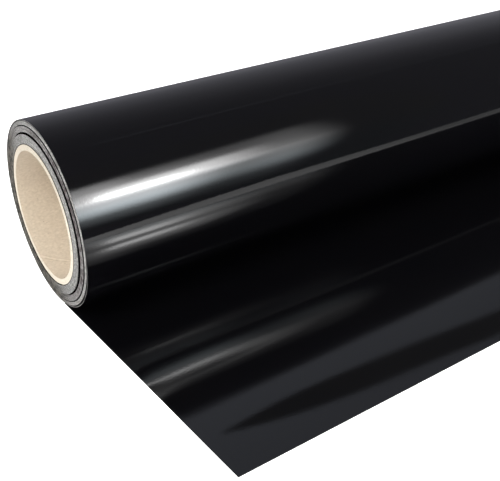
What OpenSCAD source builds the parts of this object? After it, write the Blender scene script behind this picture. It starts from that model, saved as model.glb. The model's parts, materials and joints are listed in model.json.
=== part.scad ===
// Part-used roll of self-adhesive sign vinyl on a cardboard core, with its free end laid out flat.
//
// Frame: origin on the core's axis at mid-width, +X along the core, +Z up. The free sheet runs
// towards -Y. The web is film, adhesive and release liner, wound with the film outwards. It comes
// over the top of the roll, down the front, turns back under itself at the nip, and lies flat with
// the film upwards. Angles go round the core's axis from the back (+Y) over the top (+Z).

/* [Roll] */
// Width of the vinyl web, along the core
web_w = 610; // [300:10:1370]
// Outside diameter of the wound roll, outer lap included
roll_d = 111; // [108:0.5:150]

/* [Core] */
// Inside diameter of the cardboard core
core_bore_d = 76.2; // [75:0.1:77]
// Number of board plies in the core wall
core_plies = 7; // [4:1:8]
// Thickness of one board ply
ply_t = 0.5; // [0.3:0.05:0.5]
// How far the core stands out past the vinyl at each end
core_proud = 1.5; // [0:0.5:10]

/* [Web layers] */
// Thickness of the vinyl film
film_t = 0.1; // [0.05:0.01:0.15]
// Thickness of the adhesive coat
adhesive_t = 0.03; // [0.02:0.01:0.05]
// Thickness of the release liner
liner_t = 0.15; // [0.1:0.01:0.2]

/* [Wound pack] */
// Air between the core and the first wrap
core_gap = 0.3; // [0.2:0.1:0.5]
// Radial thickness of the tightly wound inner wraps
inner_wraps_t = 5.7; // [4:0.1:6]
// Slack between the inner and middle wraps
middle_gap = 0.4; // [0.1:0.1:0.6]
// Radial thickness of the middle wraps
middle_wraps_t = 4; // [2:0.1:4]
// Slack between the middle and outer wraps
outer_gap = 0.2; // [0.1:0.1:0.4]
// Air between the outer wraps and the outermost lap, which lets the pack turn inside it
lap_gap = 0.3; // [0.2:0.05:0.5]
// How far each group of wraps has slipped to the left past the group outside it
slip = 0.6; // [-0.7:0.1:0.7]

/* [Start tape] */
// Width of the tape that holds the start of the web on the core, measured round the core
tape_w = 25; // [15:1:50]
// Thickness of the start tape
tape_t = 0.15; // [0.05:0.05:0.2]

/* [Outer lap] */
// Angle where the outermost lap begins, just behind the line where the roll rests
lap_start_a = -98; // [-100:1:-91]
// How much wider than the roll the web curves where it falls from the front to the nip
fall_bulge = 2; // [1:0.1:3]
// Inside radius of the turn at the nip
nip_r = 0.8; // [0.5:0.1:2]

/* [Free sheet] */
// Reach of the free sheet in front of the line where the roll rests
sheet_reach = 194; // [150:1:1000]
// Reach of the flat stretch that stays at the nip when the sheet feeds out
nip_reach = 60; // [40:1:80]
// Length of the film flap that peels up from the sheet's front edge
flap_len = 69.7; // [20:0.1:80]
// Gap between the flat stretch at the nip and the sheet
feed_gap = 0.2; // [0.1:0.1:0.5]
// Gap in the film at the line where the flap bends up
peel_gap = 0.3; // [0.2:0.1:0.6]

/* [Hidden] */
$fn = 96;

web_t = film_t + adhesive_t + liner_t;
core_len = web_w + 2 * core_proud;
core_r = core_bore_d / 2 + core_plies * ply_t;
roll_r = roll_d / 2;
table_z = -roll_r;

// Inside radius of each group of wraps, from the core outwards
inner_wraps_r = core_r + core_gap;
middle_wraps_r = inner_wraps_r + inner_wraps_t + middle_gap;
outer_wraps_r = middle_wraps_r + middle_wraps_t + outer_gap;
pack_r = roll_r - web_t - lap_gap;

// Distance of each layer below the film's face
film_d = 0;
adhesive_d = film_t;
liner_d = film_t + adhesive_t;

// The falling web is one arc round (y, z) = (fall_bulge, 0), tangent to the roll at its front,
// and it meets the turn at the nip at angle nip_a
front_a = 180;
fall_r = roll_r + fall_bulge;
turn_z = table_z + web_t + nip_r;
nip_a = front_a + asin(-turn_z / (fall_r + nip_r));
turn_y = fall_bulge + (fall_r + nip_r) * cos(nip_a);

// Half the angle that the start tape covers, centred under the core
tape_half_a = tape_w / core_r * 90 / PI;

sheet_back_y = -(nip_reach + feed_gap);
flap_y = -(sheet_reach - flap_len);
film_front_y = flap_y + peel_gap;

// A full ring round the core's axis, slipped to the left by shift
module ring(r_in, thick, width, shift = 0) {
    translate([-shift, 0, 0])
        rotate([90, 0, 90])
            difference() {
                cylinder(r = r_in + thick, h = width, center = true);
                cylinder(r = r_in, h = width + 2, center = true);
            }
}

// Part of a ring round an axis through (y, z): it starts at from_a and covers sweep
module band(y, z, r_in, thick, from_a, sweep) {
    translate([0, y, z])
        rotate([90, 0, 90])
            rotate([0, 0, from_a])
                rotate_extrude(angle = sweep)
                    translate([r_in, -web_w / 2])
                        square([thick, web_w]);
}

// A flat layer on the table, from y_front back to y_back, depth below the film's face
module flat_layer(y_front, y_back, depth, thick) {
    translate([-web_w / 2, y_front, table_z + web_t - depth - thick])
        cube([web_w, y_back - y_front, thick]);
}

// One layer of the outermost lap: round the roll, then falling clear of it
module lap_layer(depth, thick) {
    band(0, 0, roll_r - depth - thick, thick, front_a, lap_start_a - front_a);
    band(fall_bulge, 0, fall_r - depth - thick, thick, front_a, nip_a - front_a);
}

// One layer of the nip: the turn, film inside, and the flat stretch in front of it
module nip_layer(depth, thick) {
    band(turn_y, turn_z, nip_r + depth, thick, -90, nip_a - 90);
    flat_layer(-nip_reach, turn_y, depth, thick);
}

module core_ply(k) {
    color("tan") ring(core_bore_d / 2 + (k - 1) * ply_t, ply_t, core_len);
}

module start_tape() {
    color("khaki") band(0, 0, core_r, tape_t, 270 - tape_half_a, 2 * tape_half_a);
}

module inner_wraps() {
    color("gray") ring(inner_wraps_r, inner_wraps_t, web_w, 2 * slip);
}

module middle_wraps() {
    color("rosybrown") ring(middle_wraps_r, middle_wraps_t, web_w, slip);
}

module outer_wraps() {
    color("darkgray") ring(outer_wraps_r, pack_r - outer_wraps_r, web_w);
}

module lap_film() {
    color("black") lap_layer(film_d, film_t);
}

module lap_adhesive() {
    color("silver") lap_layer(adhesive_d, adhesive_t);
}

module lap_liner() {
    color("white") lap_layer(liner_d, liner_t);
}

module nip_film() {
    color("black") nip_layer(film_d, film_t);
}

module nip_adhesive() {
    color("silver") nip_layer(adhesive_d, adhesive_t);
}

module nip_liner() {
    color("white") nip_layer(liner_d, liner_t);
}

module sheet_film() {
    color("black") flat_layer(film_front_y, sheet_back_y, film_d, film_t);
}

module sheet_adhesive() {
    color("silver") flat_layer(film_front_y, sheet_back_y, adhesive_d, adhesive_t);
}

module sheet_liner() {
    color("white") flat_layer(-sheet_reach, sheet_back_y, liner_d, liner_t);
}

module flap_film() {
    color("black") flat_layer(-sheet_reach, flap_y, film_d, film_t);
}

module flap_adhesive() {
    color("silver") flat_layer(-sheet_reach, flap_y, adhesive_d, adhesive_t);
}

for (k = [1:core_plies])
    core_ply(k);
start_tape();
inner_wraps();
middle_wraps();
outer_wraps();
lap_film();
lap_adhesive();
lap_liner();
nip_film();
nip_adhesive();
nip_liner();
sheet_film();
sheet_adhesive();
sheet_liner();
flap_film();
flap_adhesive();
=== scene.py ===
import json
import math

import bpy
import numpy as np
from mathutils import Matrix, Vector


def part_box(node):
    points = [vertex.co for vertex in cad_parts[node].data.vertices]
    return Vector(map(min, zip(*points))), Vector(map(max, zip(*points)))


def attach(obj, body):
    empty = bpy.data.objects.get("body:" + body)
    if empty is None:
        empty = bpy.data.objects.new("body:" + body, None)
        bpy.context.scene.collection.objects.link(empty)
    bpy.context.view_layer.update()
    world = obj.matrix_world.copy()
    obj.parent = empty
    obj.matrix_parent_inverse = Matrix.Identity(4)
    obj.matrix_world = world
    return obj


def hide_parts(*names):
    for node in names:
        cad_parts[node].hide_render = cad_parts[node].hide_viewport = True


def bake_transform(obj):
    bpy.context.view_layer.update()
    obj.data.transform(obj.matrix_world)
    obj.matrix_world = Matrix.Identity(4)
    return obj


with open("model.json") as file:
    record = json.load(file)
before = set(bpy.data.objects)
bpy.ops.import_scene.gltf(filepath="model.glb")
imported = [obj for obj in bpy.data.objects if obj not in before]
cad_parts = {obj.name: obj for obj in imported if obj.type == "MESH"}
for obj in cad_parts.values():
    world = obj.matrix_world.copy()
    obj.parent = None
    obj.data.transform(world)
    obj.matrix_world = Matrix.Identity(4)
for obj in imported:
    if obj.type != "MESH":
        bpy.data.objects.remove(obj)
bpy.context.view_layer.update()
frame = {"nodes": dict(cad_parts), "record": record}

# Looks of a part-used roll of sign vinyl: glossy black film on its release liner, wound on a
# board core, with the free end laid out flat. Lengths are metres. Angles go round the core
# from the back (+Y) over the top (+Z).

MM = 0.001
TAU = 2 * math.pi
SEED = 20


# ---------------------------------------------------------------- sizes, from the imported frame


def low(node):
    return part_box(node)[0]


def high(node):
    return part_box(node)[1]


def thickness(node):
    """Height of a flat layer."""
    return high(node).z - low(node).z


def bore_radius():
    bore = next(m for m in frame["record"]["mounts"] if m["name"] == "core_bore")
    return bore["dims"]["r_mm"] * MM


TABLE_Z = low("sheet_liner").z
ROLL_R = -TABLE_Z
WEB_HALF = high("sheet_liner").x
LEFT_EDGE = -WEB_HALF
SHEET_FRONT_Y = low("sheet_liner").y
PEEL_Y = high("flap_film").y

FILM_T = thickness("sheet_film")
ADHESIVE_T = thickness("sheet_adhesive")
LINER_T = thickness("sheet_liner")
WEB_T = FILM_T + ADHESIVE_T + LINER_T

PLY_NODES = sorted(n for n in frame["nodes"] if n.startswith("core_ply_"))
BORE_R = bore_radius()
CORE_R = high(PLY_NODES[-1]).z
CORE_HALF = high(PLY_NODES[0]).x
PLY_T = (CORE_R - BORE_R) / len(PLY_NODES)

# Clearances of the CAD solids, each on the outside of the piece before it
CORE_GAP = 0.3 * MM
MIDDLE_GAP = 0.4 * MM
OUTER_GAP = 0.2 * MM
LAP_GAP = 0.3 * MM

# The web comes down the roll's front to the nip, where it turns forward onto the table
NIP_R = 0.15 * MM
TURN_Z = TABLE_Z + WEB_T + NIP_R
NIP_ANGLE = math.pi + math.asin(-TURN_Z / (ROLL_R + NIP_R))
TURN_Y = (ROLL_R + NIP_R) * math.cos(NIP_ANGLE)
# Near its left end it bulges off the roll: the bulge starts with a kink and closes at the nip
KINK_AT = math.radians(183)
KINK_SLOPE = math.radians(4.6)
# The lap begins under the roll, and from there to TUCK_FROM it lies a little nearer the wound web
LAP_START = math.radians(-98)
TUCK_FROM = math.radians(-60)
# A fine crease along the front of the roll, strongest near its left end
CREASE_AT = math.radians(212.5)
# The stretch of the free sheet that has a small dent at its left edge
DENT_FROM, DENT_TO = -0.105, -0.128


# ---------------------------------------------------------------- camera

CAMERA_AT = Vector((-0.4396, -0.4220, 0.1864))
CAMERA_AZIMUTH = math.radians(-32.943)
CAMERA_ELEVATION = math.radians(26.246)
CAMERA_ROLL = math.radians(-3.49)
CAMERA_LENS_MM = 58.57
CAMERA_SENSOR_MM = 36


def direction(azimuth, elevation):
    """Unit vector at an azimuth from the front (-Y) towards +X, and an elevation."""
    level = math.cos(elevation)
    return Vector((math.sin(azimuth) * level, -math.cos(azimuth) * level, math.sin(elevation)))


def add_camera():
    back = direction(CAMERA_AZIMUTH, CAMERA_ELEVATION)
    right = (-back).cross(Vector((0, 0, 1))).normalized()
    up = back.cross(right)
    axes = Matrix((right, up, back)).transposed() @ Matrix.Rotation(CAMERA_ROLL, 3, "Z")
    data = bpy.data.cameras.new("camera")
    data.lens = CAMERA_LENS_MM
    data.sensor_width = CAMERA_SENSOR_MM
    data.clip_start = 0.01
    data.clip_end = 60
    camera = bpy.data.objects.new("camera", data)
    camera.matrix_world = Matrix.Translation(CAMERA_AT) @ axes.to_4x4()
    bpy.context.scene.collection.objects.link(camera)
    bpy.context.scene.camera = camera


# ---------------------------------------------------------------- mesh helpers


def smoothstep(x):
    x = np.clip(x, 0, 1)
    return x * x * (3 - 2 * x)


def bump(x, centre, width):
    return np.exp(-(((x - centre) / width) ** 2))


def steps(start, end, step):
    """Even stations from start up to, but not including, end."""
    count = max(1, math.ceil(abs(end - start) / step - 1e-6))
    return [start + (end - start) * k / count for k in range(count)]


def mesh_object(name, points, faces, materials, face_materials=None, sharp_deg=35):
    mesh = bpy.data.meshes.new(name)
    mesh.from_pydata(np.asarray(points).tolist(), [], faces)
    mesh.polygons.foreach_set("use_smooth", [True] * len(mesh.polygons))
    for material in materials:
        mesh.materials.append(material)
    if face_materials is not None:
        mesh.polygons.foreach_set("material_index", face_materials)
    mesh.update()
    mesh.set_sharp_from_angle(angle=math.radians(sharp_deg))
    obj = bpy.data.objects.new(name, mesh)
    bpy.context.scene.collection.objects.link(obj)
    return obj


def strip_faces(rings, per_ring, closed_length=False):
    """Quads between closed rings of points."""
    last_ring = rings if closed_length else rings - 1
    i, j = np.meshgrid(np.arange(last_ring), np.arange(per_ring), indexing="ij")
    i_next = (i + 1) % rings
    j_next = (j + 1) % per_ring
    quads = np.stack([i * per_ring + j, i * per_ring + j_next,
                      i_next * per_ring + j_next, i_next * per_ring + j], axis=-1)
    return quads.reshape(-1, 4)


# ---------------------------------------------------------------- materials


class Graph:
    """A material's nodes, added by short calls. An input is a number, a colour or a socket."""

    def __init__(self, name, roughness=0.5, ior=1.5):
        self.material = bpy.data.materials.new(name)
        self.material.use_nodes = True
        self.tree = self.material.node_tree
        self.shader = self.tree.nodes["Principled BSDF"]
        self.shader.inputs["IOR"].default_value = ior
        self.shader.inputs["Roughness"].default_value = roughness
        self.place = self.add("ShaderNodeTexCoord").outputs["Object"]

    @classmethod
    def of_tree(cls, tree):
        """The same calls for a tree that has no principled shader."""
        graph = cls.__new__(cls)
        graph.tree = tree
        graph.place = graph.add("ShaderNodeTexCoord").outputs["Object"]
        return graph

    def add(self, kind, settings=None, **inputs):
        node = self.tree.nodes.new(kind)
        for key, value in (settings or {}).items():
            setattr(node, key, value)
        for key, value in inputs.items():
            self.feed(node.inputs[key.replace("_", " ")], value)
        return node

    def feed(self, socket, value):
        if isinstance(value, bpy.types.NodeSocket):
            self.tree.links.new(value, socket)
        else:
            socket.default_value = value

    def scaled(self, x, y, z):
        """The place on the object, stretched along each axis."""
        node = self.add("ShaderNodeVectorMath", {"operation": "MULTIPLY"})
        self.feed(node.inputs[0], self.place)
        self.feed(node.inputs[1], (x, y, z))
        return node.outputs[0]

    def noise(self, scale, detail=4, vector=None):
        node = self.add("ShaderNodeTexNoise", Scale=scale, Detail=detail,
                        Vector=vector or self.place)
        return node.outputs["Fac"]

    def cells(self, scale):
        """Distance from the nearest of a cloud of scattered points."""
        node = self.add("ShaderNodeTexVoronoi", {"feature": "F1"}, Scale=scale, Vector=self.place)
        return node.outputs["Distance"]

    def ramp(self, factor, low_at, high_at, low_value=0.0, high_value=1.0):
        node = self.add("ShaderNodeMapRange", Value=factor)
        self.feed(node.inputs["From Min"], low_at)
        self.feed(node.inputs["From Max"], high_at)
        self.feed(node.inputs["To Min"], low_value)
        self.feed(node.inputs["To Max"], high_value)
        return node.outputs["Result"]

    def soft_ramp(self, factor, low_at, high_at, low_value=0.0, high_value=1.0):
        result = self.ramp(factor, low_at, high_at, low_value, high_value)
        result.node.interpolation_type = "SMOOTHSTEP"
        return result

    def math(self, operation, a, b=0.0):
        node = self.add("ShaderNodeMath", {"operation": operation})
        self.feed(node.inputs[0], a)
        self.feed(node.inputs[1], b)
        return node.outputs[0]

    def product(self, *factors):
        result = factors[0]
        for factor in factors[1:]:
            result = self.math("MULTIPLY", result, factor)
        return result

    def mix(self, factor, a, b):
        node = self.add("ShaderNodeMix", {"data_type": "RGBA"})
        self.feed(node.inputs["Factor"], factor)
        self.feed(node.inputs[6], a)
        self.feed(node.inputs[7], b)
        return node.outputs[2]

    def axis(self, name):
        return self.add("ShaderNodeSeparateXYZ", Vector=self.place).outputs[name]

    def colour(self, socket):
        self.feed(self.shader.inputs["Base Color"], socket)

    def rough(self, socket):
        self.feed(self.shader.inputs["Roughness"], socket)

    def relief(self, height, strength, distance):
        node = self.add("ShaderNodeBump", Height=height, Strength=strength, Distance=distance)
        self.feed(self.shader.inputs["Normal"], node.outputs["Normal"])


def grey(value):
    return (value, value, value, 1)


def film_material():
    """High-gloss black vinyl: a faint orange peel, slight haze and a few specks of dust."""
    g = Graph("vinyl_film")
    dust = g.ramp(g.cells(70), 0.010, 0.016, 1.0, 0.0)
    scatter = g.ramp(g.noise(9, detail=2), 0.52, 0.6)
    specks = g.math("MULTIPLY", dust, scatter)
    tint = g.mix(g.noise(30, detail=2), (0.0016, 0.0016, 0.0022, 1), (0.0024, 0.0022, 0.0026, 1))
    g.colour(g.mix(specks, tint, (0.22, 0.22, 0.22, 1)))
    haze = g.ramp(g.noise(14, detail=5), 0.35, 0.7, 0.035, 0.065)
    g.rough(g.math("ADD", haze, g.math("MULTIPLY", specks, 0.4)))
    g.relief(g.noise(900, detail=2), 0.05, 0.0002)
    return g.material


def liner_material():
    """Coated paper: off-white, satin, with a faint cloudy formation and fine fibres."""
    g = Graph("release_liner", roughness=0.45)
    cloud = g.noise(160, detail=6)
    fibres = g.noise(900, detail=3, vector=g.scaled(1, 0.35, 0.35))
    tone = g.mix(g.ramp(cloud, 0.35, 0.68), (0.70, 0.69, 0.66, 1), (0.84, 0.83, 0.80, 1))
    g.colour(g.mix(g.ramp(fibres, 0.55, 0.75, 0.0, 0.4), tone, (0.62, 0.60, 0.56, 1)))
    g.rough(g.ramp(cloud, 0.3, 0.7, 0.38, 0.55))
    g.relief(fibres, 0.12, 0.0002)
    return g.material


def adhesive_material():
    """Clear-grey tacky layer with the faint cellular print that the liner leaves in it."""
    g = Graph("adhesive", roughness=0.3)
    cell = g.cells(700)
    tone = g.ramp(cell, 0.1, 0.6)
    g.colour(g.mix(tone, (0.17, 0.17, 0.165, 1), (0.25, 0.25, 0.245, 1)))
    g.rough(g.ramp(g.noise(120), 0.3, 0.7, 0.22, 0.4))
    g.relief(cell, 0.15, 0.0001)
    return g.material


def edge_material(name, dark, light, soil, soil_from, soil_to, front_only=False):
    """Cut edge of one layer of the wound web: streaked by the slitting knife, a little soiled, and with
    painted shade on the roll's lower back.
    """
    g = Graph(name, roughness=0.5)
    streak = g.noise(800, detail=4)
    patch = g.noise(330, detail=5)
    tone = g.mix(g.ramp(streak, 0.38, 0.62), dark, light)
    soiled = g.ramp(patch, soil_from, soil_to)
    if front_only:
        # The darker patches are kept to the front and away from the table
        front = g.soft_ramp(g.axis("Y"), 0.012, -0.012)
        clear_of_table = g.soft_ramp(g.axis("Z"), -0.047, -0.030)
        soiled = g.product(soiled, front, clear_of_table)
    tone = g.mix(soiled, tone, soil)
    # Painted shade: the lower back of the roll is darkened to a mottled dark tone
    painted_shade_tone = g.mix(g.ramp(patch, 0.42, 0.58), (0.035, 0.031, 0.024, 1), (0.19, 0.175, 0.145, 1))
    lower_back = g.math("SUBTRACT", g.axis("Y"), g.math("MULTIPLY", g.axis("Z"), 0.5))
    behind = g.soft_ramp(lower_back, -0.006, 0.030, 0.0, 0.93)
    g.colour(g.mix(behind, tone, painted_shade_tone))
    g.rough(g.ramp(streak, 0.3, 0.7, 0.35, 0.65))
    g.relief(streak, 0.3, 0.0002)
    return g.material


def board_material(name, pale, deep):
    """Kraft core board: pressed fibres, a mottled tone and dark flecks."""
    g = Graph(name, roughness=0.85, ior=1.45)
    fibres = g.noise(900, detail=6, vector=g.scaled(0.6, 1, 1))
    mottle = g.noise(90, detail=5)
    tone = g.mix(g.ramp(fibres, 0.30, 0.72), deep, pale)
    tone = g.mix(g.ramp(mottle, 0.4, 0.75, 0.0, 0.22), tone, deep)
    flecks = g.math("MULTIPLY", g.ramp(g.cells(260), 0.05, 0.09, 1.0, 0.0),
                    g.ramp(g.noise(60, detail=1), 0.5, 0.56))
    tone = g.mix(g.math("MULTIPLY", flecks, 0.55), tone, (0.20, 0.13, 0.08, 1))
    # Painted shade: the board is darker towards the top
    painted_shade_top = g.soft_ramp(g.axis("Z"), 0.0, 0.038, 0.0, 0.30)
    tone = g.mix(painted_shade_top, tone, (0.30, 0.25, 0.20, 1))
    g.colour(tone)
    g.rough(g.ramp(fibres, 0.3, 0.7, 0.78, 0.95))
    g.relief(fibres, 0.35, 0.0003)
    return g.material


def tape_material():
    """Cream crepe paper tape, wrinkled across its length."""
    g = Graph("paper_tape", roughness=0.7)
    crepe = g.noise(700, detail=3, vector=g.scaled(0.2, 1, 1))
    g.colour(g.mix(g.ramp(crepe, 0.3, 0.7), (0.60, 0.50, 0.30, 1), (0.80, 0.71, 0.50, 1)))
    g.rough(g.ramp(crepe, 0.3, 0.7, 0.6, 0.8))
    g.relief(crepe, 0.5, 0.0002)
    return g.material


FILM = film_material()
LINER = liner_material()
ADHESIVE = adhesive_material()
LINER_EDGE = edge_material("liner_edge", (0.24, 0.235, 0.22, 1), (0.64, 0.63, 0.60, 1),
                           (0.17, 0.16, 0.145, 1), 0.5, 0.75)
# Painted shade: a dark tone for faces seen only deep in the gaps of the roll, the white liner's back
# among them
PAINTED_GAP_SHADE = edge_material("painted_gap_shade", (0.05, 0.05, 0.048, 1), (0.13, 0.13, 0.125, 1),
                          (0.04, 0.038, 0.036, 1), 0.5, 0.75)
FILM_EDGE = edge_material("film_edge", (0.008, 0.008, 0.009, 1), (0.045, 0.045, 0.047, 1),
                          (0.10, 0.095, 0.09, 1), 0.5, 0.75)


# ---------------------------------------------------------------- board core


PLY_CLEARANCE = 0.01 * MM
PLY_COLUMNS = 176
# How far along the core a ply's seam takes to go round once, for even and odd plies
SEAM_LEADS = 0.30, 0.36
RAGGED = 0.12 * MM
GROOVE_DEPTH = 0.32 * MM
LIP_HEIGHT = 0.10 * MM


def add_ply(index, node, bore_board, cut_board, shade_painted_wall_board):
    """One spirally wound ply. Its columns follow the strip's slant, so its edge can show as a seam."""
    inner_r = BORE_R + index * PLY_T
    outer_r = inner_r + PLY_T - PLY_CLEARANCE
    slant = -TAU / SEAM_LEADS[index % 2]
    seam_at = math.radians(-62) + index * 1.1
    turn = TAU * np.arange(PLY_COLUMNS) / PLY_COLUMNS
    # Columns crowd towards the seam, where the ply's edges meet
    turn = turn - 0.85 * np.sin(turn)
    stations = np.array(steps(-CORE_HALF, CORE_HALF, 9 * MM) + [CORE_HALF])
    ragged = np.random.RandomState(SEED + index).rand(2, PLY_COLUMNS) * RAGGED
    smooth_rag = (ragged + np.roll(ragged, 1, 1) + np.roll(ragged, 2, 1)) / 3
    trims = np.zeros((len(stations), PLY_COLUMNS))
    trims[0] = smooth_rag[0]
    trims[-1] = -smooth_rag[1]
    groove = GROOVE_DEPTH * bump(np.minimum(turn, TAU - turn), 0, 0.012)
    lip = LIP_HEIGHT * bump(turn, 0.036, 0.02)

    def wall(radius):
        rings = []
        for x, trim in zip(stations, trims):
            angle = seam_at + slant * (x + CORE_HALF) + turn
            rings.append(np.stack([x + trim, radius * np.cos(angle), radius * np.sin(angle)], axis=-1))
        return rings

    inner = wall(inner_r + groove - lip)
    outer = wall(outer_r - groove * 0.5)
    loop = inner + outer[::-1]
    quads = strip_faces(len(loop), PLY_COLUMNS, closed_length=True)
    in_bore, on_cut, on_wall = 0, 1, 2
    looks = np.full((len(loop), PLY_COLUMNS), in_bore)
    looks[len(inner):] = on_wall
    looks[[len(inner) - 1, -1]] = on_cut
    ply = mesh_object(node.replace("core", "board"), np.concatenate(loop), quads.tolist(),
                      [bore_board, cut_board, shade_painted_wall_board], looks.reshape(-1).tolist(), sharp_deg=50)
    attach(ply, "roll")
    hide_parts(node)


def add_core():
    bore_board = board_material("core_board_face", (0.76, 0.655, 0.52, 1), (0.62, 0.52, 0.395, 1))
    cut_board = board_material("core_board_cut", (0.76, 0.70, 0.58, 1), (0.65, 0.58, 0.46, 1))
    # Painted shade: the plies' outer wall, seen where the core stands proud of the wraps, is painted
    # near black
    shade_painted_wall_board = board_material("core_board_wall_painted_shade", (0.05, 0.045, 0.04, 1), (0.025, 0.022, 0.02, 1))
    for index, node in enumerate(PLY_NODES):
        add_ply(index, node, bore_board, cut_board, shade_painted_wall_board)
    tape = frame["nodes"]["start_tape"]
    tape.data.materials.clear()
    tape.data.materials.append(tape_material())


# ---------------------------------------------------------------- wound web


STEPS_PER_TURN = 132
SPIRAL_START = math.radians(262)
# How far round a slack gap's effect reaches
SLACK_REACH = math.radians(38)
# The film's cut edge lies a little behind the liner's
FILM_INSET = 0.04 * MM
# How the web's edge wanders as it is wound: cycles in a turn, and share of the wander
WANDER_WAVES = ((0.13, 0.45), (0.37, 0.3), (1.0, 0.25), (2.7, 0.16), (7.3, 0.1), (19.0, 0.05))


def edge_wander(turn, turns, wander, seed):
    """How far the edge lies from flush at each station, from 0 to wander."""
    rng = np.random.RandomState(seed)
    slip = np.zeros(len(turn))
    for cycles, size in WANDER_WAVES:
        slip += size * np.sin(TAU * (cycles * turn + rng.rand()))
    each_turn = rng.rand(turns + 2) * 2 - 1
    slip += 0.5 * np.interp(turn, np.arange(turns + 2), each_turn)
    return wander * (slip - slip.min()) / (slip.max() - slip.min())


def add_wraps(name, node, inner_r, edges, wander, seed, slack_at=0.0, gape=0.0, lean=0.0):
    """One group of wraps: a strip of film and liner wound in a spiral, its edges not quite flush.

    On the side slack_at, its first turns stand away from the group inside it by gape, and its
    left end comes out further by lean.
    """
    outer_r = high(node).z
    turns = round((outer_r - inner_r) / WEB_T)
    pitch = (outer_r - inner_r) / (turns + 0.02)
    count = turns * STEPS_PER_TURN
    turn = np.arange(count + 1) / STEPS_PER_TURN
    angle = SPIRAL_START + TAU * turn
    base = inner_r + (outer_r - inner_r - pitch) * turn / turns
    from_slack = np.abs((angle - slack_at + math.pi) % TAU - math.pi)
    base = base + gape * bump(from_slack, 0, SLACK_REACH) * (1 - turn / turns)
    liner_top = base + pitch * LINER_T / WEB_T
    film_top = base + pitch * 0.985
    slip = edge_wander(turn, turns, wander, seed)
    left = low(node).x + slip - lean * (1 + np.cos(from_slack)) / 2
    right = high(node).x - wander + slip
    corners = []
    for x, r in ((left, base), (left, liner_top), (left + FILM_INSET, liner_top),
                 (left + FILM_INSET, film_top), (right, film_top), (right, liner_top), (right, base)):
        corners.append(np.stack([x, r * np.cos(angle), r * np.sin(angle)], axis=-1))
    points = np.stack(corners, axis=1)
    per_ring = points.shape[1]
    quads = strip_faces(count + 1, per_ring)
    gloss, liner, film, side = range(4)
    # side marks the strip's hidden film and liner faces, which get the painted gap shade
    looks = np.tile([liner, liner, film, side, film, liner, side], (count, 1))
    # Glossy film shows outside the last turn. Inside the first turn the liner's back gets the black
    # film: painted shade in the slack gap
    looks[-STEPS_PER_TURN:, 3] = gloss
    looks[:STEPS_PER_TURN, 6] = gloss
    first = list(range(per_ring))
    last = [count * per_ring + j for j in reversed(range(per_ring))]
    faces = quads.tolist() + [first, last]
    pack = mesh_object(name, points.reshape(-1, 3), faces, [FILM, edges[0], edges[1], PAINTED_GAP_SHADE],
                       looks.reshape(-1).tolist() + [film, film], sharp_deg=30)
    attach(pack, "roll")
    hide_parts(node)


def add_wound_web():
    soiled = edge_material("liner_edge_soiled", (0.24, 0.23, 0.22, 1), (0.62, 0.59, 0.57, 1),
                           (0.085, 0.060, 0.060, 1), 0.38, 0.60, front_only=True)
    inner_from = CORE_R + CORE_GAP
    middle_from = high("inner_wraps").z + MIDDLE_GAP
    outer_from = high("middle_wraps").z + OUTER_GAP
    add_wraps("wound_inner", "inner_wraps", inner_from, (LINER_EDGE, FILM_EDGE), 0.25 * MM, SEED,
              slack_at=math.radians(310), lean=0.85 * MM)
    add_wraps("wound_middle", "middle_wraps", middle_from, (soiled, FILM_EDGE), 0.5 * MM, SEED + 1,
              slack_at=math.radians(60), gape=0.35 * MM)
    add_wraps("wound_outer", "outer_wraps", outer_from, (LINER_EDGE, FILM_EDGE), 0.12 * MM, SEED + 2,
              slack_at=math.radians(285), gape=0.8 * MM)


# ---------------------------------------------------------------- lap and free sheet


def web_path(front_y):
    """Stations along the web from the lap's hidden start to front_y.

    Each row is y, z and normal of the film's face, the angle round the core, and how much the
    station belongs to the roll (1) or to the flat sheet (0).
    """
    rows = []

    def arc(y, z, radius, angles, side=1, roll_share=1.0):
        for a in angles:
            tuck = LAP_GAP * float(smoothstep((TUCK_FROM - a) / (TUCK_FROM - LAP_START)))
            r = radius - (tuck if side > 0 else 0)
            rows.append((y + r * math.cos(a), z + r * math.sin(a), side * math.cos(a),
                         side * math.sin(a), a, roll_share))

    degree = math.radians(1)
    near_crease = CREASE_AT - 2 * degree, CREASE_AT + 2 * degree
    marks = ((LAP_START, 2), (KINK_AT - degree, 0.4), (KINK_AT + 9 * degree, 1.2),
             (near_crease[0], 0.25), (near_crease[1], 1.5), (NIP_ANGLE, 0))
    for (start, step), (end, _) in zip(marks, marks[1:]):
        arc(0, 0, ROLL_R, steps(start, end, step * degree))
    arc(TURN_Y, TURN_Z, NIP_R, steps(NIP_ANGLE - math.pi, -math.pi / 2, 10 * degree),
        side=-1, roll_share=0.0)
    return np.array(rows + flat_rows(TURN_Y, front_y))


def flat_rows(y_from, y_to):
    """Rows as in web_path, on the flat sheet, close together where the dent is."""
    coarse, fine = 2.5 * MM, 0.8 * MM
    marks = [y_from] + [y for y in (DENT_FROM, DENT_TO) if y_to < y < y_from] + [y_to]
    ys = []
    for a, b in zip(marks, marks[1:]):
        ys += steps(a, b, fine if DENT_TO < (a + b) / 2 < DENT_FROM else coarse)
    ys.append(y_to)
    return [(y, TABLE_Z + WEB_T, 0.0, 1.0, 0.0, 0.0) for y in ys]


def across():
    """Stations across the web, close together near its left edge."""
    near = [k * 0.8 * MM for k in range(10)]
    mid = [8 * MM + k * 2 * MM for k in range(11)]
    far = steps(30 * MM, 2 * WEB_HALF, 6 * MM)
    return LEFT_EDGE + np.array(near + mid + far + [2 * WEB_HALF])


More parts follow.
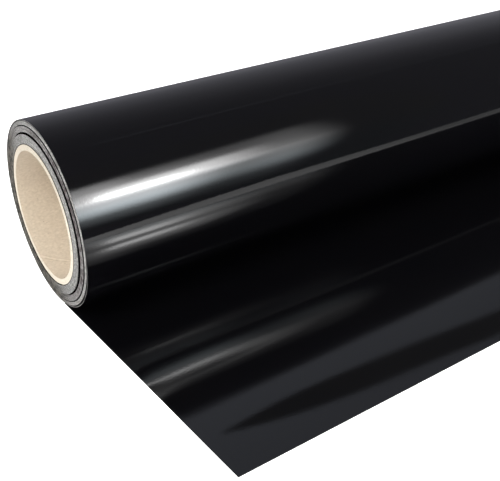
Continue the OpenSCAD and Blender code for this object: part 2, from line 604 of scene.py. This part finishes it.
def sheet_lift(x, y):
    """How far the free sheet stands off the table."""
    from_edge = x - LEFT_EDGE
    forward = TURN_Y - y
    settled = smoothstep((forward - 6 * MM) / (30 * MM))
    waves = 0.020 * (1 + np.sin(x * TAU / 0.31 + 0.6)) * (1 + np.sin(y * TAU / 0.105 + 1.1))
    waves = waves + 0.006 * (1 + np.sin(x * TAU / 0.083 + y * TAU / 0.21))
    # A small dent at the left edge, with the edge standing a little proud round it
    edge_only = np.exp(-from_edge / (4.5 * MM))
    dent = edge_only * (0.17 * bump(y, -0.118, 0.022) - 0.15 * bump(y, -0.1185, 0.0048))
    return MM * (waves * settled + dent)


def stand_off(x, angle):
    """How far the web bulges off the roll's front, near its left end."""
    degree = math.radians(1)
    past = np.linspace(0, NIP_ANGLE - KINK_AT, 200)
    # The slope sets in within 2.4 degrees of the kink and dies away from 5 degrees past it
    onset = KINK_SLOPE * smoothstep(past / (2.4 * degree))
    slope = onset * (1 - smoothstep((past - 5 * degree) / (18 * degree)))
    rise = np.concatenate([[0], np.cumsum((slope[1:] + slope[:-1]) / 2 * np.diff(past))]) * ROLL_R
    closing = 39 * degree
    rise = rise * (1 - smoothstep((past - closing) / (past[-1] - closing)))
    fade = 1 - smoothstep((x - LEFT_EDGE - 0.060) / 0.100)
    return np.interp(angle - KINK_AT, past, rise) * fade


def roll_unevenness(x, angle):
    """The web's slight waves on the roll, and its crease."""
    from_edge = x - LEFT_EDGE
    slow = 0.008 * np.sin(3 * angle + x * TAU / 0.42)
    slow = slow + 0.005 * np.sin(7 * angle - x * TAU / 0.23 + 1.3)
    quick = 0.0015 * np.sin(x * TAU / 0.047 + 5 * angle)
    crease = 0.05 * bump(angle, CREASE_AT, math.radians(0.4)) * np.exp(-from_edge / 0.05)
    return MM * (slow + quick + crease)


def layer(name, path, depth, thick, material, edge):
    """One closed layer of the web along path, from depth below the film's face downwards.

    On the roll its hidden underside gets the painted gap shade, as only a sliver of it shows, deep in
    the gap.
    """
    y, z, ny, nz, angle, share = (path[:, k][:, None] for k in range(6))
    x = across()[None, :]
    settle = smoothstep((NIP_ANGLE - angle) / math.radians(32))
    push = share * (settle * roll_unevenness(x, angle) + stand_off(x, angle))
    flat = (share == 0) & (angle == 0)
    lift = np.where(flat, sheet_lift(x, y), 0)
    grids = []
    for d in (depth, depth + thick):
        grid = np.zeros((len(path), x.shape[1], 3))
        grid[:, :, 0] = x
        grid[:, :, 1] = y + ny * (push - d)
        grid[:, :, 2] = z + nz * (push - d) + lift
        grids.append(grid)
    upper, lower = grids
    ring = np.concatenate([upper, lower[:, ::-1]], axis=1)
    rows, per_ring = ring.shape[:2]
    faces = strip_faces(rows, per_ring).tolist()
    half = x.shape[1]
    on_face, on_edge, painted_shade_under_roll = 0, 1, 2
    looks = np.full((rows - 1, per_ring), on_face)
    on_roll = share[:-1, 0] > 0
    looks[on_roll, half:] = painted_shade_under_roll
    looks[:, [half - 1, per_ring - 1]] = on_edge
    looks = looks.reshape(-1).tolist() + [on_edge] * (2 * half - 2)
    for base, turn in ((0, 1), ((rows - 1) * per_ring, -1)):
        for j in range(half - 1):
            quad = [base + j, base + j + 1, base + per_ring - 2 - j, base + per_ring - 1 - j]
            faces.append(quad[::turn])
    return mesh_object(name, ring.reshape(-1, 3), faces, [material, edge, PAINTED_GAP_SHADE], looks)


def add_web():
    """The web from the lap to the peel line, and the liner under the flap."""
    short = web_path(PEEL_Y)
    full = web_path(SHEET_FRONT_Y)
    film = layer("web_film", short, 0, FILM_T, FILM, FILM_EDGE)
    glue = layer("web_adhesive", short, FILM_T, ADHESIVE_T, ADHESIVE, FILM_EDGE)
    liner = layer("web_liner", full, FILM_T + ADHESIVE_T, LINER_T, LINER, LINER_EDGE)
    rows = (
        (film, short, "film", "vinyl_film"),
        (glue, short, "adhesive", "adhesive"),
        (liner, full, "liner", "release_liner"),
    )
    for piece, path, kind, slot in rows:
        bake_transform(piece)
        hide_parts("lap_" + kind, "nip_" + kind, "sheet_" + kind)


def add_flap():
    """The free end's film and adhesive, which can be peeled back off the liner."""
    path = np.array(flat_rows(PEEL_Y, SHEET_FRONT_Y))
    film = layer("flap_of_film", path, 0, FILM_T, FILM, FILM_EDGE)
    glue = layer("flap_of_adhesive", path, FILM_T, ADHESIVE_T, ADHESIVE, FILM_EDGE)
    for piece, node, slot in ((film, "flap_film", "vinyl_film"), (glue, "flap_adhesive", "adhesive")):
        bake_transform(piece)
        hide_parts(node)


# ---------------------------------------------------------------- stage and light


def emission_material(name, colour=grey(1), strength=1.0):
    material = bpy.data.materials.new(name)
    material.use_nodes = True
    tree = material.node_tree
    tree.nodes.clear()
    emission = tree.nodes.new("ShaderNodeEmission")
    emission.inputs["Color"].default_value = colour
    emission.inputs["Strength"].default_value = strength
    output = tree.nodes.new("ShaderNodeOutputMaterial")
    tree.links.new(emission.outputs[0], output.inputs["Surface"])
    return material, emission


def seen_by(obj, camera=False, diffuse=False, glossy=False, shadow=False):
    obj.visible_camera = camera
    obj.visible_diffuse = diffuse
    obj.visible_glossy = glossy
    obj.visible_transmission = False
    obj.visible_shadow = shadow


def add_floor():
    sides, radius = 96, 6
    rim = [direction(TAU * k / sides, 0) * radius for k in range(sides)]
    points = [(p.x, p.y, TABLE_Z - 0.05 * MM) for p in rim]
    g = Graph("floor", roughness=0.9)
    tone = g.ramp(g.noise(3, detail=2), 0.3, 0.7)
    g.colour(g.mix(tone, grey(0.86), grey(0.90)))
    g.shader.inputs["Specular IOR Level"].default_value = 0.0
    g.shader.inputs["Emission Color"].default_value = grey(1)
    g.shader.inputs["Emission Strength"].default_value = 0.72
    floor = mesh_object("floor", points, [list(range(sides))], [g.material])
    seen_by(floor, camera=True, diffuse=True, shadow=True)


def add_backdrop():
    """A pale dome that only the camera sees."""
    rings, around, radius = 12, 48, 9
    points = []
    for i in range(rings):
        elevation = math.radians(-12 + 100 * i / (rings - 1))
        points += [tuple(direction(TAU * k / around, elevation) * radius) for k in range(around)]
    faces = strip_faces(rings, around).tolist()
    material, _ = emission_material("backdrop")
    dome = mesh_object("backdrop", points, faces, [material], sharp_deg=180)
    seen_by(dome, camera=True)


def facing(at, towards, along):
    """Matrix of a panel at a place, its -Z to a point and its X as near as may be along a line."""
    back = (at - towards).normalized()
    x = (along - back * along.dot(back)).normalized()
    return Matrix.Translation(at) @ Matrix((x, back.cross(x), back)).transposed().to_4x4()


def panel(name, length, width, matrix, material):
    points = [(length * i, width * j, 0) for j in (-0.5, 0.5) for i in (-0.5, 0.5)]
    obj = mesh_object(name, points, [[0, 1, 3, 2]], [material])
    obj.matrix_world = matrix
    return obj


SOFTBOX_FROM = Vector((0.167, -1.338, 0.628))
SOFTBOX_TO = Vector((0.849, -1.097, 0.530))
# How far up the light a degree round the roll sees
SOFTBOX_PER_DEGREE = 0.0487
SOFTBOX_RADIANCE = 14
# What the dark surround of the softbox still gives
SOFTBOX_MARGIN_RADIANCE = 0.115


def add_softbox():
    """The long soft light in front: a hot tube in a broad diffuser, dying away at its far end.

    On its panel, along is in metres from the near end of the light, and down is in the degrees
    round the roll that see it, from the middle of the tube.
    """
    material, emission = emission_material("softbox")
    g = Graph.of_tree(material.node_tree)
    split = g.add("ShaderNodeSeparateXYZ", Vector=g.place)
    length = (SOFTBOX_TO - SOFTBOX_FROM).length
    along = g.math("ADD", split.outputs["X"], length / 2)
    down = g.math("DIVIDE", split.outputs["Y"], -SOFTBOX_PER_DEGREE)

    def lobe(centre, width, power):
        """1 at the centre, falling to 1/e at the width; a higher power has steeper sides."""
        away = g.math("ABSOLUTE", g.math("DIVIDE", g.math("SUBTRACT", down, centre), width))
        return g.math("EXPONENT", g.math("MULTIPLY", g.math("POWER", away, power), -1.0))

    rise = g.ramp(down, -11.5, 1.0)
    upper = g.product(rise, rise, g.ramp(down, 1.0, 1.1, 1.0, 0.0))
    lower = g.product(
        g.ramp(down, 1.0, 1.1),
        g.math("ADD", g.soft_ramp(down, 6.0, 13.0, 0.82, 0.0), g.soft_ramp(down, 8.0, 19.0, 0.20, 0.0)),
    )
    shoulder = g.product(
        g.soft_ramp(down, -9.8, -6.6),
        g.soft_ramp(down, -5.0, -1.5, 1.0, 0.0),
        g.math("ADD", g.soft_ramp(along, 0.080, 0.190, 0.17, 0.0), 0.05),
        g.soft_ramp(along, 0.55, 0.66, 1.0, 0.0),
    )
    broad = g.product(
        g.math("ADD", g.math("MULTIPLY", upper, 0.80), lower),
        g.soft_ramp(along, -0.12, 0.08, 0.4, 0.92),
        g.soft_ramp(along, 0.17, 0.42, 1.0, 0.26),
        g.soft_ramp(along, 0.51, 0.69, 1.0, 0.0),
    )
    core = g.product(
        lobe(-0.1, 3.3, 4.0),
        g.soft_ramp(along, -0.01, 0.09, 0.25, 0.80),
        g.soft_ramp(along, 0.29, 0.52, 1.0, 0.04),
        g.soft_ramp(along, 0.56, 0.67, 1.0, 0.0),
    )
    hot = g.product(
        lobe(0.6, 1.2, 2.0),
        g.soft_ramp(along, 0.03, 0.09, 0.0, 3.4),
        g.soft_ramp(along, 0.15, 0.33, 1.0, 0.0),
    )
    total = g.math("ADD", g.math("ADD", broad, core), g.math("ADD", shoulder, hot))
    power = g.math("ADD", g.math("MULTIPLY", total, SOFTBOX_RADIANCE), SOFTBOX_MARGIN_RADIANCE)
    g.feed(emission.inputs["Strength"], power)
    # The diffuser below the tube is a little cooler
    cool = g.ramp(down, 1, 8)
    g.feed(emission.inputs["Color"], g.mix(cool, (1, 1, 1, 1), (0.86, 0.955, 1.0, 1)))
    middle = (SOFTBOX_FROM + SOFTBOX_TO) / 2
    matrix = facing(middle, Vector((LEFT_EDGE + 0.1, 0, 0)), SOFTBOX_TO - SOFTBOX_FROM)
    box = panel("softbox", 1.5 * length, 40 * SOFTBOX_PER_DEGREE, matrix, material)
    seen_by(box, diffuse=True, glossy=True)


def add_area(name, at, size, power, towards=(0, -0.05, 0)):
    data = bpy.data.lights.new(name, "AREA")
    data.shape = "RECTANGLE"
    data.size, data.size_y = size
    data.energy = power
    light = bpy.data.objects.new(name, data)
    light.matrix_world = facing(Vector(at), Vector(towards), Vector((1, 0, 0)))
    light.visible_camera = False
    light.visible_glossy = False
    bpy.context.scene.collection.objects.link(light)


def add_table_glow():
    """The lit table in front of the sheet, as the gloss sees it."""
    material, emission = emission_material("table_glow")
    g = Graph.of_tree(material.node_tree)
    g.feed(emission.inputs["Strength"], g.ramp(g.axis("X"), -0.22, 0.16, 1.75, 0.6))
    y, z = SHEET_FRONT_Y - 0.003, TABLE_Z - 0.02 * MM
    # How far the lit part reaches forward at each place along it
    reach = ((-0.32, 0.035), (-0.22, 0.058), (-0.12, 0.090), (-0.02, 0.112), (0.12, 0.080), (1.0, 0.060))
    points = [(x, y, z) for x, _ in reach] + [(x, y - depth, z) for x, depth in reach]
    count = len(reach)
    faces = [[k, k + 1, count + k + 1, count + k] for k in range(count - 1)]
    glow = mesh_object("table_glow", points, faces, [material])
    seen_by(glow, glossy=True)


def add_rear_glow():
    """A dim panel over the roll, which only the free sheet mirrors, and the dark flag before it."""
    y = -0.0322
    bottom, top = 0.0465, 0.128
    left, right = -0.28, 0.62
    material, emission = emission_material("rear_glow", (0.85, 0.90, 1.02, 1))
    g = Graph.of_tree(material.node_tree)
    g.feed(emission.inputs["Strength"], g.ramp(g.axis("X"), -0.25, 0.30, 0.45, 0.15))
    corners = [(left, y, bottom), (right, y, bottom), (right, y, top), (left, y, top)]
    glow = mesh_object("rear_glow", corners, [[0, 1, 2, 3]], [material])
    seen_by(glow, glossy=True)

    # The flag widens from a round tip, and climbs along its length
    tip_x, tip_z = -0.222, 0.0690
    length, climb, half_width, tip_length = 0.78, 0.088, 0.0130, 0.070
    flag_y = y - 0.4 * MM
    stations = np.array(steps(0, length, 0.012))
    middle = tip_z + climb * stations
    half = half_width * np.tanh(stations / tip_length)
    under = [(tip_x + s, flag_y, z) for s, z in zip(stations, middle - half)]
    over = [(tip_x + s, flag_y, z) for s, z in zip(stations, middle + half)]
    faces = [[k, k + 1, len(under) + k + 1, len(under) + k] for k in range(len(under) - 1)]
    black, _ = emission_material("dark_flag", strength=0.06)
    flag = mesh_object("dark_flag", under + over, faces, [black])
    seen_by(flag, glossy=True)


def add_world():
    """Dim studio: darker in front, brighter low at the back."""
    world = bpy.data.worlds.new("studio")
    world.use_nodes = True
    g = Graph.of_tree(world.node_tree)
    background = g.tree.nodes["Background"]
    view = g.add("ShaderNodeSeparateXYZ", Vector=g.add("ShaderNodeTexCoord").outputs["Generated"])
    rear = g.ramp(view.outputs["Y"], -0.05, 0.45, 0.0, 0.05)
    below_top = g.soft_ramp(view.outputs["Z"], 0.98, 0.50)
    above_floor = g.soft_ramp(view.outputs["Z"], -0.06, 0.16)
    glow = g.math("MULTIPLY", g.math("MULTIPLY", rear, below_top), above_floor)
    strength = g.math("ADD", g.math("ADD", rear, 0.118), g.math("MULTIPLY", glow, 2.5))
    g.feed(background.inputs["Strength"], strength)
    background.inputs["Color"].default_value = (0.95, 0.95, 1.07, 1)
    bpy.context.scene.world = world


def light_scene():
    bpy.context.scene.view_settings.view_transform = "Standard"
    add_floor()
    add_backdrop()
    add_world()
    add_softbox()
    add_table_glow()
    add_rear_glow()
    add_area("left_light", (-1.35, -0.55, 1.15), (1.1, 0.9), 25, towards=(LEFT_EDGE, 0, 0))
    add_area("top_light", (-0.3, 0.1, 2.4), (2.6, 2.6), 26)


add_camera()
add_core()
add_wound_web()
add_web()
add_flap()
light_scene()
